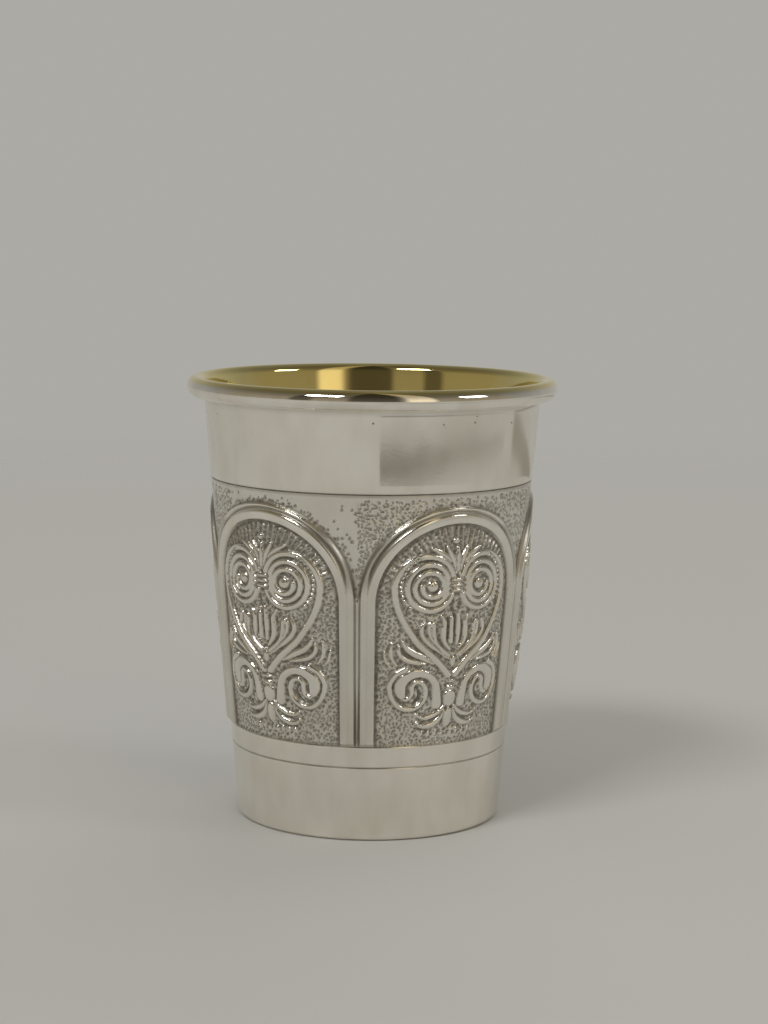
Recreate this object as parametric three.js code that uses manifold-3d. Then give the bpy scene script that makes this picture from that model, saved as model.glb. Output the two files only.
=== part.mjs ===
// A small straight-sided kiddush cup of silver: a tapered beaker with a rolled rim, a plain
// band above and below, and five arched panels of scrollwork raised round the wall.
//
// Units are millimetres, +Z is up, and the origin is the centre of the underside. One pillar
// between two arches faces -Y.
//
// The ornament is drawn flat, on a sheet whose u runs round the wall (true length at the
// reference radius) and whose z is the height, and is then wrapped on the wall's cone. Its
// third number, raise, is the height over the plain wall.

import * as THREE from "three";
import { mergeVertices } from "three/addons/utils/BufferGeometryUtils.js";
import Module from "manifold-3d";

// ---------------------------------------------------------------- driving dimensions

const HEIGHT = 80;
const BASE_RADIUS = 23.9; // the wall's cone, taken down to the table
const TAPER = 0.0855; // growth of the wall's radius for each millimetre of height
const WALL = 0.6;
const SIDES = 32; // facets round the cup

const FLOOR_TOP = 1.3; // inside floor of the bowl
const FLOOR_CORNER = 3; // radius between the inside floor and the inside wall
const FOOT_WIDTH = 2.7; // flat ring that the cup stands on
const FOOT_CHAMFER = 0.9;
const UNDERSIDE_RECESS = 0.5;

const RIM_TUBE = 1.65; // radius of the rolled rim's section
const RIM_OUTSIDE = 33.55;
const RIM_NECK = 75.6; // height at which the wall starts to turn out under the roll

const GROOVE_DEPTH = 0.25;
const GROOVE_HALF = 0.25;
const LOWER_GROOVE = 13.4;
const UPPER_GROOVE = 61.9;

const BAND_BOTTOM = 17.2; // lower edge of the ornamented band
const GROUND_SINK = 0.12; // the band's ground lies this far under the plain wall

const PANELS = 5;
const REFERENCE_RADIUS = 27.2; // wall radius at which u is true length
const ROOT = -0.4; // raise at which the raised work is rooted inside the wall

const ARCH_SPRING = 42.6; // height at which the arches leave their legs
const ARCH_INNER = 13.9; // inner half-width and rise of an arch
const ARCH_BAND = 1.9; // width of the smooth band
const ARCH_RAISE = 0.72;
const ARCH_SLOPE = 0.2; // half-width of the sloping edges of band and moulding
const ARCH_STEPS = 8;
const FILLET_GAP = 0.25; // from the band to the bottom of the groove outside it
const FILLET_WIDTH = 0.7; // thin moulding outside that groove
const FILLET_RAISE = 0.6;
const PILLAR_HALF = 0.3; // thin ridge between the legs of two arches
const PILLAR_RAISE = 0.5;
const PILLAR_TOP = 46;

const SWELL = 1.2; // how far a panel's ground swells out in the middle of its arch
const SWELL_RISE = 20; // height over which the swell grows from the band's lower edge
const SWELL_POWER = 0.7; // how full it is near the arch
const SWELL_EDGE = -0.27; // where its edges dip under the ground
const SWELL_ROWS = 7;
const SWELL_COLUMNS = [-1, -0.75, -0.4, 0, 0.4, 0.75, 1]; // shares of the half-width

const RIB_HALF = 0.5; // half-width of a scroll's rib at the ground
const RIB_RAISE = 0.42; // over the swelling ground, as the next heights are
const LEAF_RAISE = 0.36;
const UPPER_EYE = [4.95, 46.3]; // middle of an upper volute
const UPPER_VOLUTE = 5.85; // its outer radius
const LOWER_EYE = [7.6, 27.3];
const LOWER_VOLUTE = 4.3;
const VOLUTE_CLOSE = 0.36; // radius at a coil's end, as a share of its outer radius
const COLLAR = 28.4; // height of the collar that ties the stems
const FAN_FOOT = 49.6; // foot of the fan under the arch's crown
const FAN_LENGTH = 5.6;
const FAN_SPREAD = 28; // degrees from one rib of the fan to the next

// ---------------------------------------------------------------- the turned body

const wallRadius = (z) => BASE_RADIUS + TAPER * z;

/** Points of an arc in the profile, from one angle to another in degrees. */
function arc(centreRadius, centreHeight, radius, from, to, steps) {
  const points = [];
  for (let i = 0; i <= steps; i += 1) {
    const angle = THREE.MathUtils.degToRad(from + ((to - from) * i) / steps);
    const r = centreRadius + radius * Math.cos(angle);
    points.push([r, centreHeight + radius * Math.sin(angle)]);
  }
  return points;
}

/** A shallow V groove turned into the outside of the wall. */
function groove(z) {
  return [
    [wallRadius(z - GROOVE_HALF), z - GROOVE_HALF],
    [wallRadius(z) - GROOVE_DEPTH, z],
    [wallRadius(z + GROOVE_HALF), z + GROOVE_HALF],
  ];
}

/** Half section of the cup, from the axis under the base to the axis on the inside floor. */
function bodyProfile() {
  const footOutside = wallRadius(FOOT_CHAMFER);
  const footInside = footOutside - FOOT_CHAMFER - FOOT_WIDTH;
  const underside = [
    [0, UNDERSIDE_RECESS],
    [footInside - UNDERSIDE_RECESS, UNDERSIDE_RECESS],
    [footInside, 0],
    [footOutside - FOOT_CHAMFER, 0],
    [footOutside, FOOT_CHAMFER],
  ];
  const outside = [
    ...groove(LOWER_GROOVE),
    [wallRadius(BAND_BOTTOM), BAND_BOTTOM],
    [wallRadius(BAND_BOTTOM) - GROUND_SINK, BAND_BOTTOM + GROUND_SINK],
    ...groove(UPPER_GROOVE),
    [wallRadius(RIM_NECK), RIM_NECK],
  ];
  const rollRadius = RIM_OUTSIDE - RIM_TUBE;
  const roll = arc(rollRadius, HEIGHT - RIM_TUBE, RIM_TUBE, -135, 90, 5);
  const mouthTurn = rollRadius - (wallRadius(RIM_NECK) - WALL);
  const mouth = arc(rollRadius, HEIGHT - mouthTurn, mouthTurn, 90, 180, 2).slice(1);
  const cornerHeight = FLOOR_TOP + FLOOR_CORNER;
  const cornerRadius = wallRadius(cornerHeight) - WALL - FLOOR_CORNER;
  const inside = [
    ...arc(cornerRadius, cornerHeight, FLOOR_CORNER, 0, -90, 2),
    [0, FLOOR_TOP],
  ];
  return [...underside, ...outside, ...roll, ...mouth, ...inside];
}

// ---------------------------------------------------------------- lines on the sheet

/** How far the ground stands out at a point of the sheet; nothing outside the arch. */
function swell(u, z) {
  const above = Math.max(z - ARCH_SPRING, 0);
  const share = Math.hypot(u, above) / ARCH_INNER;
  if (share >= 1 || z <= BAND_BOTTOM) {
    return 0;
  }
  const rise = Math.min((z - BAND_BOTTOM) / SWELL_RISE, 1);
  return SWELL * (1 - share ** 2) ** SWELL_POWER * Math.sin((Math.PI / 2) * rise);
}

/** Points of a log spiral about an eye; angles in degrees, anticlockwise from +u. */
function spiral(eye, outerRadius, from, to, steps) {
  const points = [];
  for (let i = 0; i <= steps; i += 1) {
    const t = i / steps;
    const angle = THREE.MathUtils.degToRad(from + (to - from) * t);
    const radius = outerRadius * VOLUTE_CLOSE ** t;
    points.push([eye[0] + radius * Math.cos(angle), eye[1] + radius * Math.sin(angle)]);
  }
  return points;
}

/** Points of a smooth curve through the given ones. */
function smooth(controls, steps) {
  const curve = new THREE.CatmullRomCurve3(controls.map(([u, z]) => new THREE.Vector3(u, z, 0)));
  return curve.getPoints(steps).map((point) => [point.x, point.y]);
}

/** The line of an arch's inner edge: up one leg, over the arch and down the other. */
function archLine(bottom) {
  const points = [[-ARCH_INNER, bottom]];
  for (let i = 0; i <= ARCH_STEPS; i += 1) {
    const angle = Math.PI * (1 - i / ARCH_STEPS);
    points.push([ARCH_INNER * Math.cos(angle), ARCH_SPRING + ARCH_INNER * Math.sin(angle)]);
  }
  points.push([ARCH_INNER, bottom]);
  return points;
}

/** Unit normals of a line, to its left. */
function normals(points) {
  return points.map((point, i) => {
    const before = points[Math.max(i - 1, 0)];
    const after = points[Math.min(i + 1, points.length - 1)];
    const length = Math.hypot(after[0] - before[0], after[1] - before[1]);
    return [-(after[1] - before[1]) / length, (after[0] - before[0]) / length];
  });
}

// ---------------------------------------------------------------- raised forms

/** How a leaf's width goes from its foot to its tip. */
const leafWidth = (t) => 0.25 + 0.75 * Math.sin(Math.PI * Math.min(1.15 * t, 1));

/** How the width of a plain shoot goes from its foot to its tip. */
const shootWidth = (t) => 1 - 0.45 * t;

/**
 * A section carried along a line of the sheet, as a list of rings. The section is a list of
 * [side, raise], where side is counted in half-widths to the left of the line.
 */
function stroke(points, halfWidth, section, widthAt = () => 1) {
  const across = normals(points);
  return points.map(([u, z], i) => {
    const width = halfWidth * widthAt(i / (points.length - 1));
    return section.map(([side, raise]) => [
      u + across[i][0] * side * width,
      z + across[i][1] * side * width,
      raise,
    ]);
  });
}

/** A ridge's section: wide at its root inside the wall, sharp at its crest. */
function ridge(raise) {
  const spread = (raise - ROOT) / (raise + GROUND_SINK);
  return [[spread, ROOT], [0, raise], [-spread, ROOT]];
}

/** An arch's section, from its outer side in: thin moulding, groove, smooth band. */
function archSection() {
  const filletInside = ARCH_BAND + FILLET_GAP;
  const outside = filletInside + FILLET_WIDTH;
  return [
    [outside + ARCH_SLOPE, ROOT],
    [outside - ARCH_SLOPE, FILLET_RAISE],
    [filletInside, -GROUND_SINK],
    [ARCH_BAND, ARCH_RAISE],
    [ARCH_SLOPE, ARCH_RAISE],
    [-ARCH_SLOPE, ROOT],
  ];
}

/** A bead: a low lozenge that narrows from its root to a flat top. */
function bead([u, z], halfWidth, halfHeight, raise) {
  const rootSize = 1.25;
  const topSize = 0.5;
  return [[rootSize, ROOT], [topSize, raise]].map(([size, height]) => [
    [u + halfWidth * size, z, height],
    [u, z + halfHeight * size, height],
    [u - halfWidth * size, z, height],
    [u, z - halfHeight * size, height],
  ]);
}

/** The swelling ground inside an arch: upright slices, straight at the back inside the wall. */
function field(bottom) {
  return SWELL_COLUMNS.map((share) => {
    const u = share * ARCH_INNER;
    const top = ARCH_SPRING + Math.sqrt(ARCH_INNER ** 2 - u ** 2);
    const front = [];
    for (let i = 0; i <= SWELL_ROWS; i += 1) {
      const z = bottom + (top - bottom) * Math.sin((Math.PI / 2) * (i / SWELL_ROWS));
      const edge = i === 0 || i === SWELL_ROWS || Math.abs(share) === 1;
      front.push([u, z, edge ? SWELL_EDGE : -GROUND_SINK]);
    }
    return [...front, [u, top, ROOT], [u, bottom, ROOT]];
  });
}

// ---------------------------------------------------------------- the ornament

/** The scrolls and leaves to the right of a panel's middle line. */
function sideOrnament() {
  const rib = ridge(RIB_RAISE);
  const leaf = ridge(LEAF_RAISE);
  const stem = smooth(
    [[0.5, COLLAR + 0.5], [1.9, 31.6], [4.4, 34.4], [7.6, 37.3], [10, 40.6], [10.8, UPPER_EYE[1]]],
    4,
  );
  const upperCoil = spiral(UPPER_EYE, UPPER_VOLUTE, 0, 405, 7).slice(1);
  const lowerCoil = spiral(LOWER_EYE, LOWER_VOLUTE, 150, -240, 6);
  const tulip = smooth([[0.9, 33.8], [2.4, 35.8], [3.9, 38.3], [5.2, 40.8]], 2);
  const sideLeaf = smooth([[2.4, 30.6], [5.2, 32.6], [7.7, 34.3], [9.8, 36.6]], 2);
  const footLeaf = smooth([[0.7, 24.4], [2, 21.9], [4.2, 20.9], [5.8, 22]], 2);
  return [
    stroke([...stem, ...upperCoil], RIB_HALF, rib),
    stroke([[0.9, 25.4], [2.4, 28], ...lowerCoil], RIB_HALF, rib),
    stroke(tulip, 0.8, leaf, shootWidth),
    stroke(sideLeaf, 0.7, leaf, leafWidth),
    stroke(footLeaf, 0.6, leaf, shootWidth),
    bead(UPPER_EYE, 0.8, 0.8, LEAF_RAISE),
  ];
}

/** The same work on the other side of the middle line. */
function mirrored(parts) {
  return parts.map((rings) => rings.map((ring) => {
    return ring.map(([u, z, raise]) => [-u, z, raise]);
  }));
}

/** What stands on a panel's middle line: knot, spear, collar, drop and fan. */
function middleOrnament() {
  const leaf = ridge(LEAF_RAISE);
  const parts = [
    bead([0, 46.9], 1.2, 1.4, RIB_RAISE),
    bead([0, COLLAR], 1, 0.55, RIB_RAISE),
    bead([0, 25.3], 1.3, 1.1, LEAF_RAISE),
    bead([0, 22.2], 1.2, 2, LEAF_RAISE),
    stroke([[0, 34], [0, 42.6]], 0.6, leaf),
  ];
  for (const side of [-1, 0, 1]) {
    const angle = THREE.MathUtils.degToRad(side * FAN_SPREAD);
    const along = (length) => [length * Math.sin(angle), FAN_FOOT + length * Math.cos(angle)];
    parts.push(stroke([along(1), along(FAN_LENGTH)], 0.5, leaf));
  }
  return parts;
}

/** All the raised work of one panel, with the thin pillar on its right. */
function panelParts() {
  const bottom = BAND_BOTTOM + GROUND_SINK;
  const pillar = (Math.PI * REFERENCE_RADIUS) / PANELS;
  return [
    field(bottom),
    stroke(archLine(bottom), 1, archSection()),
    stroke([[pillar, bottom], [pillar, PILLAR_TOP]], PILLAR_HALF, ridge(PILLAR_RAISE)),
    ...sideOrnament(),
    ...mirrored(sideOrnament()),
    ...middleOrnament(),
  ];
}

// ---------------------------------------------------------------- meshes and solids

/** A point of the sheet, wrapped on the cone and turned to its panel. */
function wrap(u, z, raise, turn) {
  const angle = u / REFERENCE_RADIUS + turn;
  const r = wallRadius(z) + raise + swell(u, z);
  return [r * Math.sin(angle), -r * Math.cos(angle), z];
}

/** A closed mesh through rings of sheet points, with a flat cap on each end. */
function loft(rings, turn) {
  const sides = rings[0].length;
  const positions = rings.flat().flatMap(([u, z, raise]) => wrap(u, z, raise, turn));
  const index = [];
  for (let ring = 0; ring + 1 < rings.length; ring += 1) {
    for (let side = 0; side < sides; side += 1) {
      const a = ring * sides + side;
      const b = ring * sides + ((side + 1) % sides);
      index.push(a, b, b + sides, a, b + sides, a + sides);
    }
  }
  const last = (rings.length - 1) * sides;
  for (let side = 1; side + 1 < sides; side += 1) {
    index.push(0, side + 1, side);
    index.push(last, last + side, last + side + 1);
  }
  const geometry = new THREE.BufferGeometry();
  geometry.setAttribute("position", new THREE.Float32BufferAttribute(positions, 3));
  geometry.setIndex(index);
  return geometry;
}

/** Six times the signed volume of a mesh; it is negative when the faces point in. */
function signedVolume(geometry) {
  const corners = [0, 1, 2].map(() => new THREE.Vector3());
  let sum = 0;
  for (let i = 0; i < geometry.index.count; i += 3) {
    corners.forEach((corner, k) => {
      corner.fromBufferAttribute(geometry.attributes.position, geometry.index.getX(i + k));
    });
    sum += corners[0].dot(corners[1].clone().cross(corners[2]));
  }
  return sum;
}

function toSolid(wasm, source) {
  const bare = source.clone();
  bare.deleteAttribute("normal");
  bare.deleteAttribute("uv");
  const geometry = mergeVertices(bare, 1e-5);
  const triVerts = Uint32Array.from(geometry.index.array);
  if (signedVolume(geometry) < 0) {
    triVerts.reverse();
  }
  const vertProperties = Float32Array.from(geometry.attributes.position.array);
  return new wasm.Manifold(new wasm.Mesh({ numProp: 3, vertProperties, triVerts }));
}

function toGeometry(solid) {
  const mesh = solid.getMesh();
  const geometry = new THREE.BufferGeometry();
  const position = new THREE.BufferAttribute(Float32Array.from(mesh.vertProperties), 3);
  geometry.setAttribute("position", position);
  geometry.setIndex(new THREE.BufferAttribute(Uint32Array.from(mesh.triVerts), 1));
  geometry.computeVertexNormals();
  return geometry;
}

// ---------------------------------------------------------------- the cup

const wasm = await Module();
wasm.setup();

const profile = bodyProfile().map(([r, z]) => new THREE.Vector2(r, z));
const turned = new THREE.LatheGeometry(profile, SIDES).rotateX(Math.PI / 2);
let cupSolid = toSolid(wasm, turned);

for (let panel = 0; panel < PANELS; panel += 1) {
  const turn = ((panel + 0.5) * 2 * Math.PI) / PANELS;
  for (const part of panelParts()) {
    cupSolid = cupSolid.add(toSolid(wasm, loft(part, turn)));
  }
}

const silver = new THREE.MeshStandardMaterial({ color: 0xc9c4b8, roughness: 0.3, metalness: 1 });
const cup = new THREE.Mesh(toGeometry(cupSolid), silver);
cup.name = "cup";

const kiddushCup = new THREE.Group();
kiddushCup.add(cup);

export default kiddushCup;
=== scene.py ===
"""A small silver kiddush cup, gilt inside, with five arched panels of scrollwork in relief.

The bowl is a turned profile. The ornament is drawn flat on a sheet, as a field of heights,
and the sheet is wrapped on the bowl's cone five times. On the sheet, u runs round the wall
in millimetres (true length at the reference radius), z is the height in millimetres over the
table, and raise is the height in millimetres over the plain wall.
"""

import math

import bpy
import numpy as np
from bpy.props import FloatProperty, IntProperty, PointerProperty, StringProperty
from bpy.types import Operator, Panel, PropertyGroup
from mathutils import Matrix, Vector


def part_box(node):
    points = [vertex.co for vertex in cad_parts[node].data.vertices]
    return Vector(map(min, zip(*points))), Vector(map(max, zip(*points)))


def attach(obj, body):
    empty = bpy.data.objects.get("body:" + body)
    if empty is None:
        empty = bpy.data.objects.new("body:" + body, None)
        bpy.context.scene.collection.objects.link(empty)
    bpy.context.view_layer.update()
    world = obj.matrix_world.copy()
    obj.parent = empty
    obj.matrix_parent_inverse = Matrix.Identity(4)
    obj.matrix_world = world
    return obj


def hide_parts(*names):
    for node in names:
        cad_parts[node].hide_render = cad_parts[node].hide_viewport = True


bl_info = {
    "name": "Kiddush Cup",
    "version": (1, 0, 0),
    "blender": (4, 5, 0),
    "location": "3D View > Sidebar > Cup",
    "description": "Silver cup with a rolled rim, gilt inside, and arched panels of scrollwork",
    "category": "Add Mesh",
}

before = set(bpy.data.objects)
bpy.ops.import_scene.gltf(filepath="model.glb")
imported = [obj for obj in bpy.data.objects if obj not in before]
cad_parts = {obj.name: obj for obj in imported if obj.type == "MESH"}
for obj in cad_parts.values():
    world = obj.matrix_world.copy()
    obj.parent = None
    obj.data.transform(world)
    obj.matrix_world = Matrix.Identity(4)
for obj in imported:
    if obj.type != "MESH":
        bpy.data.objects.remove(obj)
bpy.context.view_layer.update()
CUP_LOW, CUP_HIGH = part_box("cup")
MM = 0.001


# ---- sizes and colours


class CupSizes(PropertyGroup):
    """The turned bowl, in metres."""

    height: FloatProperty(name="Height", description="Table to rim", default=CUP_HIGH.z, unit="LENGTH")
    rim_outside: FloatProperty(
        name="Rim radius", description="Widest part of the roll", default=CUP_HIGH.x, unit="LENGTH"
    )
    rim_tube: FloatProperty(
        name="Roll radius", description="Section of the rolled rim", default=0.00165, unit="LENGTH"
    )
    base_radius: FloatProperty(
        name="Base radius", description="The wall's cone at the table", default=0.0239, unit="LENGTH"
    )
    taper: FloatProperty(name="Taper", description="Growth of the radius with height", default=0.0855)
    wall: FloatProperty(name="Wall", description="Sheet thickness", default=0.0006, unit="LENGTH")
    neck: FloatProperty(
        name="Neck", description="Where the wall turns out under the roll", default=0.0752, unit="LENGTH"
    )
    lower_groove: FloatProperty(
        name="Lower groove", description="Height of the turned line", default=0.0134, unit="LENGTH"
    )
    upper_groove: FloatProperty(
        name="Upper groove", description="Height of the turned line", default=0.0619, unit="LENGTH"
    )
    band_bottom: FloatProperty(
        name="Band bottom", description="Lower edge of the ornament", default=0.0172, unit="LENGTH"
    )
    facets: IntProperty(name="Facets", description="Steps round the bowl", default=320, min=40)


class ReliefSizes(PropertyGroup):
    """The raised ornament, in metres."""

    step: FloatProperty(
        name="Mesh step", description="Spacing of the relief's mesh", default=0.000136, unit="LENGTH"
    )
    ground_sink: FloatProperty(
        name="Ground", description="Depth of the matted ground", default=0.00012, unit="LENGTH"
    )
    swell: FloatProperty(
        name="Swell", description="How far a panel's middle stands out", default=0.0012, unit="LENGTH"
    )
    arch_inner: FloatProperty(
        name="Arch", description="Inner half-width of an arch", default=0.0139, unit="LENGTH"
    )
    arch_spring: FloatProperty(
        name="Spring", description="Height where arches leave their legs", default=0.0426, unit="LENGTH"
    )
    arch_raise: FloatProperty(
        name="Arch height", description="How far the arches stand out", default=0.00072, unit="LENGTH"
    )
    mat_pitch: FloatProperty(
        name="Matting", description="Spacing of the punched dots", default=0.00062, unit="LENGTH"
    )
    panels: IntProperty(name="Panels", description="Arches round the cup", default=5, min=1)


class CupFinish(PropertyGroup):
    """Colours, as sRGB hex."""

    silver: StringProperty(name="Silver", description="Polished sterling", default="F7F4EB")
    film: StringProperty(name="Film", description="Faint yellowing in clouds", default="E2D9C4")
    smear: StringProperty(name="Smear", description="Left by hands and cloth", default="B0A68F")
    # The dark of the tarnish in the hollows; it also paints the shade and the dark reflections that the
    # recess attribute carries.
    tarnish_and_shade: StringProperty(name="Tarnish", description="Dark in the recesses", default="3A352D")
    gilt: StringProperty(name="Gilding", description="Gold plate inside", default="F7E9A4")
    deep_gilt: StringProperty(name="Deep gilding", description="Thicker plate", default="F0DF9C")
    floor: StringProperty(name="Floor", description="Pale paper sweep", default="C7C6C2")
    backdrop: StringProperty(name="Backdrop", description="Sweep behind the cup", default="ACAAA5")
    room: StringProperty(name="Room", description="Dim room on the camera's side", default="ABA08A")
    # Colours of the two sheets of painted shadow on the table, which only reflections see.
    shadow_sheet_side: StringProperty(name="Long card", description="Card at the side", default="8A867E")
    shadow_sheet_far: StringProperty(name="Far card", description="Card behind", default="A29E95")


def linear(hex_colour):
    """An sRGB hex colour as linear red, green, blue and alpha."""
    channels = []
    for start in (0, 2, 4):
        value = int(hex_colour[start : start + 2], 16) / 255
        channels.append(value / 12.92 if value <= 0.04045 else ((value + 0.055) / 1.055) ** 2.4)
    return (*channels, 1.0)


# ---- mesh helpers


def mesh_object(name, vertices, faces, attributes):
    """A mesh object with smooth faces and one float attribute for each named field."""
    mesh = bpy.data.meshes.new(name)
    mesh.from_pydata(vertices, [], faces)
    mesh.validate()
    mesh.polygons.foreach_set("use_smooth", np.ones(len(mesh.polygons), bool))
    for title, values in attributes.items():
        layer = mesh.attributes.new(title, "FLOAT", "POINT")
        layer.data.foreach_set("value", np.asarray(values, np.float32).ravel())
    mesh.update()
    piece = bpy.data.objects.new(name, mesh)
    bpy.context.scene.collection.objects.link(piece)
    return piece


def smoothstep(low, high, value):
    """0 below low, 1 above high, and a smooth step between."""
    t = np.clip((value - low) / (high - low), 0, 1)
    return t * t * (3 - 2 * t)


def blurred(field, sigma):
    """A field blurred by a Gaussian of sigma cells, with its edges held."""
    reach = max(1, int(3 * sigma))
    offsets = np.arange(-reach, reach + 1)
    weights = np.exp(-0.5 * (offsets / sigma) ** 2)
    weights /= weights.sum()
    for axis in (0, 1):
        pad = [(reach, reach) if a == axis else (0, 0) for a in (0, 1)]
        wide = np.pad(field, pad, mode="edge")
        length = field.shape[axis]
        field = sum(w * np.take(wide, range(i, i + length), axis=axis) for i, w in enumerate(weights))
    return field


# ---- the turned bowl


class Profile:
    """Half section of the bowl, in millimetres, walked from the underside to the inside."""

    def __init__(self, sizes):
        self.sizes = sizes
        self.points = []
        self.recess = []
        self.gilding = []

    def wall(self, z):
        """Outside radius of the plain wall at a height."""
        return self.sizes.base_radius / MM + self.sizes.taper * z

    def add(self, r, z, recess=0.0, gilding=0.0):
        """The next point, with how dark it is painted, as tarnish and painted shade, and how gilt it is.
        """
        self.points.append((r, z))
        self.recess.append(recess)
        self.gilding.append(gilding)

    def arc(self, centre, radius, start, end, steps, gilding=None, stretch=1.0):
        """Points of an arc, with its angles in degrees; stretch makes it taller than wide."""
        for i in range(steps + 1):
            degrees = start + (end - start) * i / steps
            angle = math.radians(degrees)
            gilt = gilding(degrees) if gilding else 0.0
            r = centre[0] + radius * math.cos(angle)
            z = centre[1] + radius * stretch * math.sin(angle)
            self.add(r, z, 0.0, gilt)

    def up(self, start, end, steps, depth=0.0, gilding=0.0, inside=False):
        """Points up or down the wall between two heights."""
        offset = self.sizes.wall / MM if inside else depth
        for z in np.linspace(start, end, steps):
            self.add(self.wall(z) - offset, z, 0.0, gilding)

    def groove(self, z, half=0.22, depth=0.07):
        """A turned line with rounded lips, its bottom painted dark: tarnish and painted shade."""
        for t in np.linspace(-1, 1, 9):
            sunk = 0.5 + 0.5 * math.cos(math.pi * t)
            height = z + half * t
            self.add(self.wall(height) - depth * sunk, height, 0.75 * sunk)


def bowl_profile(sizes):
    """The whole half section, from the axis underneath to the axis on the inside floor."""
    line = Profile(sizes)
    foot_round = 0.9
    foot_width = 2.7
    recess = 0.5
    slab_seat = 0.35
    foot = line.wall(foot_round) - foot_round
    inner_foot = foot - foot_width
    for r in np.linspace(0, inner_foot - 0.6, 8):
        line.add(r, recess)
    # Painted shade on the underside, just inside the foot ring.
    line.add(inner_foot - 0.3, recess - 0.1, 0.6)
    line.add(inner_foot, 0.05, 0.3)
    line.add(inner_foot + 0.2, 0.0)
    line.add(foot - 0.3, 0.0)
    line.arc((foot, foot_round), foot_round, -90, -2, 10)
    lower = sizes.lower_groove / MM
    upper = sizes.upper_groove / MM
    bottom = sizes.band_bottom / MM
    line.up(1.3, lower - 0.5, 9)
    line.groove(lower)
    line.up(lower + 0.5, bottom - 0.3, 4)
    # Painted shade along the band's foot, under the panels' lower edge.
    line.add(line.wall(bottom), bottom, 0.3)
    line.up(bottom + 0.3, upper - 0.15, 12, depth=slab_seat)
    # The upper groove is painted dark: tarnish and painted shade.
    line.add(line.wall(upper) - 0.22, upper - 0.02, 0.9)
    line.add(line.wall(upper) - 0.1, upper + 0.08, 0.6)
    line.add(line.wall(upper) - 0.02, upper + 0.2, 0.1)
    neck = sizes.neck / MM
    line.up(upper + 0.4, neck - 1.5, 10)
    line.up(neck - 1.2, neck, 4)
    tube = sizes.rim_tube / MM
    tall = 1.11
    roll = sizes.rim_outside / MM - tube
    roll_height = sizes.height / MM - tube * tall
    # The neck under the roll is painted dark: a painted shadow of the roll on the wall.
    for out, up, dark in ((0.03, 0.4, 0.1), (0.1, 0.8, 0.25), (0.2, 1.1, 0.35), (0.33, 1.35, 0.25)):
        line.add(line.wall(neck) + out, neck + up, dark)

    def rim_gilding(degrees):
        return float(smoothstep(25, 50, degrees))

    line.arc((roll, roll_height), tube, -130, 90, 34, rim_gilding, stretch=tall)
    lip = 1.6
    flare = 9.0
    line.arc((roll, sizes.height / MM - lip), lip, 95, 180 - flare, 14, lambda degrees: 1.0)
    lip_foot = line.points[-1]
    flare_foot = 73.0
    inner = line.wall(flare_foot) - sizes.wall / MM
    drop = lip_foot[1] - flare_foot
    for t in np.linspace(0.12, 1, 8):
        straight = lip_foot[0] + (inner - lip_foot[0]) * t
        bow = (math.tan(math.radians(flare)) * drop - (lip_foot[0] - inner)) * t * (1 - t) ** 2
        line.add(straight - bow, lip_foot[1] - drop * t, 0.0, 1.0)
    floor_top = 1.3
    corner = 3.0
    line.up(flare_foot - 2, floor_top + corner + 0.5, 14, gilding=1.0, inside=True)
    centre = line.wall(floor_top + corner) - sizes.wall / MM - corner
    line.arc((centre, floor_top + corner), corner, 0, -90, 14, lambda degrees: 1.0)
    for r in np.linspace(centre - 1, 0, 9):
        line.add(r, floor_top, 0.0, 1.0)
    return line


def turned(name, line, facets):
    """The profile turned about the axis, closed at both ends on the axis."""
    points = np.array(line.points)
    count = len(points)
    angles = np.arange(facets) * 2 * math.pi / facets
    inner = points[1:-1]
    r = inner[:, 0][:, None]
    x = r * np.sin(angles)[None]
    y = -r * np.cos(angles)[None]
    z = np.repeat(inner[:, 1][:, None], facets, 1)
    vertices = np.stack([x, y, z], -1).reshape(-1, 3)
    first = len(vertices)
    ends = np.array([[0, 0, points[0][1]], [0, 0, points[-1][1]]])
    vertices = np.concatenate([vertices, ends]) * MM
    faces = []
    for ring in range(count - 3):
        for side in range(facets):
            a = ring * facets + side
            b = ring * facets + (side + 1) % facets
            faces.append((a, b, b + facets, a + facets))
    last = (count - 3) * facets
    for side in range(facets):
        after = (side + 1) % facets
        faces.append((first, after, side))
        faces.append((last + side, last + after, first + 1))
    fields = {}
    for title, values in (("recess", line.recess), ("gilding", line.gilding)):
        rings = np.repeat(np.array(values[1:-1]), facets)
        fields[title] = np.concatenate([rings, [values[0], values[-1]]])
    return mesh_object(name, vertices.tolist(), faces, fields)


# ---- lines of the ornament


def smooth_line(controls, steps=28):
    """Points of a smooth curve through the given ones (Catmull-Rom)."""
    points = np.array(controls, float)
    ends = [2 * points[0] - points[1], 2 * points[-1] - points[-2]]
    padded = np.concatenate([[ends[0]], points, [ends[1]]])
    spans = len(points) - 1
    out = []
    for i in range(spans):
        p0, p1, p2, p3 = padded[i : i + 4]
        for t in np.arange(0, 1, spans / steps):
            square = (2 * p0 - 5 * p1 + 4 * p2 - p3) * t * t
            cube = (3 * p1 - p0 - 3 * p2 + p3) * t**3
            out.append(0.5 * (2 * p1 + (p2 - p0) * t + square + cube))
    out.append(points[-1])
    return np.array(out)


def even(start, end):
    """A width that goes evenly from one value to the other."""
    return lambda t: start + (end - start) * t


def leaf_shape(width):
    """A width that swells from a thin foot and ends in a round tip."""
    return lambda t: width * (0.35 + 0.65 * np.sin(math.pi * np.clip(t * 0.85 + 0.08, 0, 1)))


def drop_shape(width):
    """A width that starts pointed and ends full."""
    return lambda t: width * (0.15 + 0.85 * np.sin(math.pi / 2 * np.clip(t * 1.1, 0, 1)))


# ---- the sheet of relief


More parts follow.
